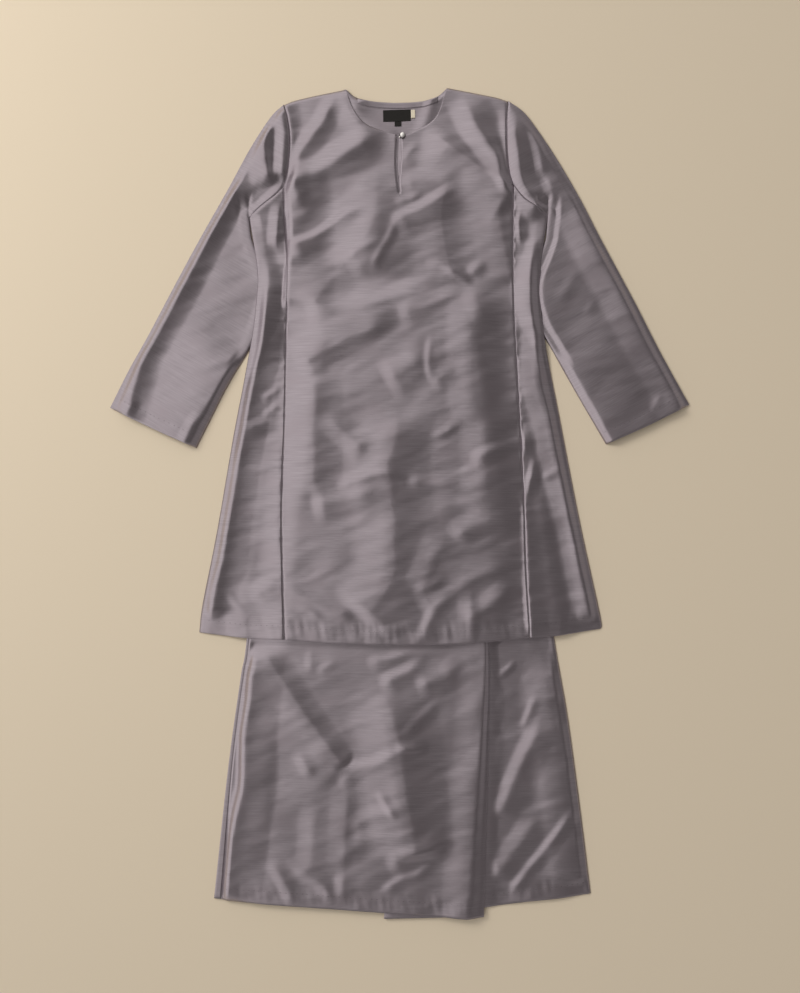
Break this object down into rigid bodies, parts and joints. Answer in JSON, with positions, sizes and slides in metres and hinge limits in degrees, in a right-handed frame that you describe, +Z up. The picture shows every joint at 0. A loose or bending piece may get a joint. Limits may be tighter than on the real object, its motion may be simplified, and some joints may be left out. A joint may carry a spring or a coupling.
{
  "type": "baju kurung",
  "caption": "Long-sleeved tunic with a keyhole neck laid flat over its long pleated skirt, in plain grey-mauve cloth with a soft sheen.",
  "frame": {"origin": "centre of the laid-out set, on the surface that it rests on", "axes": "+Y up the garment towards the neck, +X to the right as seen from above, +Z up from the surface"},
  "size_m": [0.9755, 1.398, 0.0199],
  "materials": {
    "cloth": "plain ribbed taffeta with a soft sheen, grey-mauve",
    "label_black": "black woven label, bare",
    "label_cream": "cream satin label, bare",
    "pearl": "white pearl bead",
    "loop_cord": "thin dark cord"
  },
  "bodies": {
    "root": {"skirt_back": "cloth", "skirt_front": "cloth", "skirt_waistband": "cloth", "tunic_back": "cloth", "side_back_left": "cloth", "side_back_right": "cloth", "tunic_front": "cloth", "side_front_left": "cloth", "side_front_right": "cloth", "sleeve_left": "cloth", "sleeve_right": "cloth", "neck_facing_back": "cloth", "neck_button": "pearl", "button_loop": "loop_cord", "label_main": "label_black", "label_size": "label_black", "label_care": "label_cream"}
  },
  "joints": []
}
